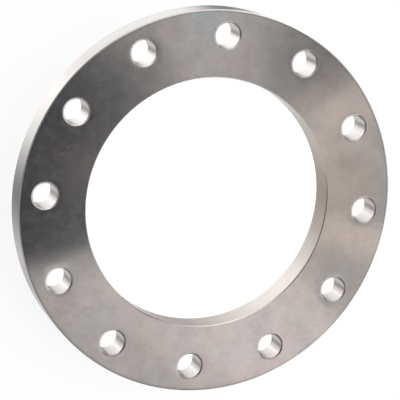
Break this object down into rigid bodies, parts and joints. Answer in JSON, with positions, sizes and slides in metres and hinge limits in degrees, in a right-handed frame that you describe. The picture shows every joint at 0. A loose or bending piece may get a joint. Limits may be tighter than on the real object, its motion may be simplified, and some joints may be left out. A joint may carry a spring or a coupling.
{
  "type": "plate flange",
  "caption": "Flat ring-shaped steel plate flange with a wide bore for a pipe and a circle of plain through holes for bolts.",
  "frame": {"origin": "centre of the bore at the flange's back face, which it lies on", "axes": "+Z along the bore axis, from the back face to the front face; +X and +Y are the centre lines that the bolt holes straddle"},
  "size_m": [0.34, 0.34, 0.026],
  "materials": {
    "turned_steel": "satin"
  },
  "bodies": {
    "root": {"plate_flange": "turned_steel"}
  },
  "joints": []
}
